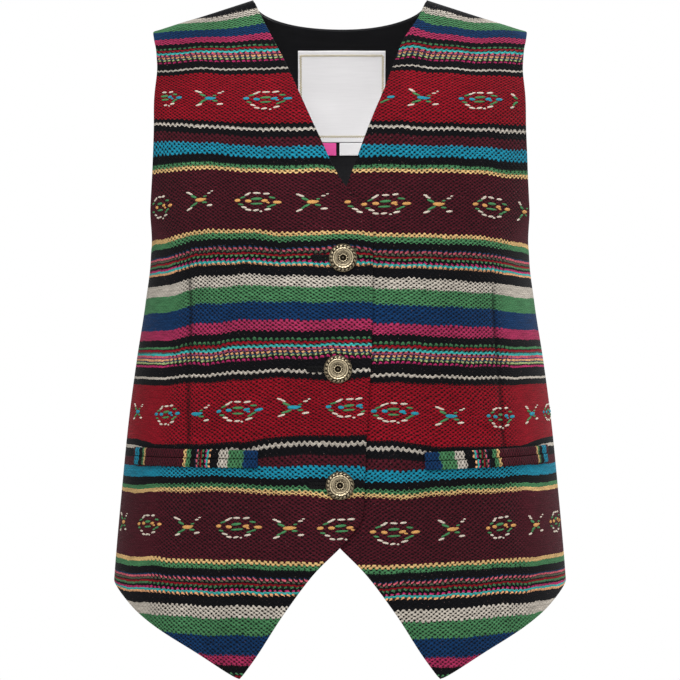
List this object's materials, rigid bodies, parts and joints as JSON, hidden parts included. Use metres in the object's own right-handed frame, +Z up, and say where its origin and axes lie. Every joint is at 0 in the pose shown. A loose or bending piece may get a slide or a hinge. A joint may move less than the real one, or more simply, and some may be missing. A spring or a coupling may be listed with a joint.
{
  "type": "child's waistcoat, buttoned and filled out as worn",
  "caption": "Sleeveless striped cotton waistcoat with a V neck, buttoned front, double-welt pockets and a pointed hem, hollow as when worn.",
  "frame": {"origin": "between the two shoulder neck points, in the plane of the shoulder and side seams, where the wearer's shoulders hold the garment", "axes": "+Z up, -Y towards the front with the buttons, +X towards the wearer's left"},
  "size_m": [0.3338, 0.2043, 0.4893],
  "materials": {
    "striped_cotton": "coarse weft-faced weave, matt, in stripes",
    "black_cotton": "plain black cotton, matt",
    "black_lining": "fine lining cloth, a slight sheen",
    "button_metal": "antique brass, worn bright on the raised rings",
    "label_satin": "white satin ribbon with a beige border stitch",
    "size_tab_satin": "pink satin tape",
    "care_tab_satin": "white satin tape"
  },
  "bodies": {
    "root": {"front_right": "striped_cotton", "front_left": "striped_cotton", "back": "black_cotton", "back_lining": "black_lining", "welt_right_upper": "striped_cotton", "welt_right_lower": "striped_cotton", "welt_left_upper": "striped_cotton", "welt_left_lower": "striped_cotton", "button_top": "button_metal", "button_middle": "button_metal", "button_bottom": "button_metal", "neck_label": "label_satin", "size_tab": "size_tab_satin", "care_tab": "care_tab_satin"}
  },
  "joints": []
}
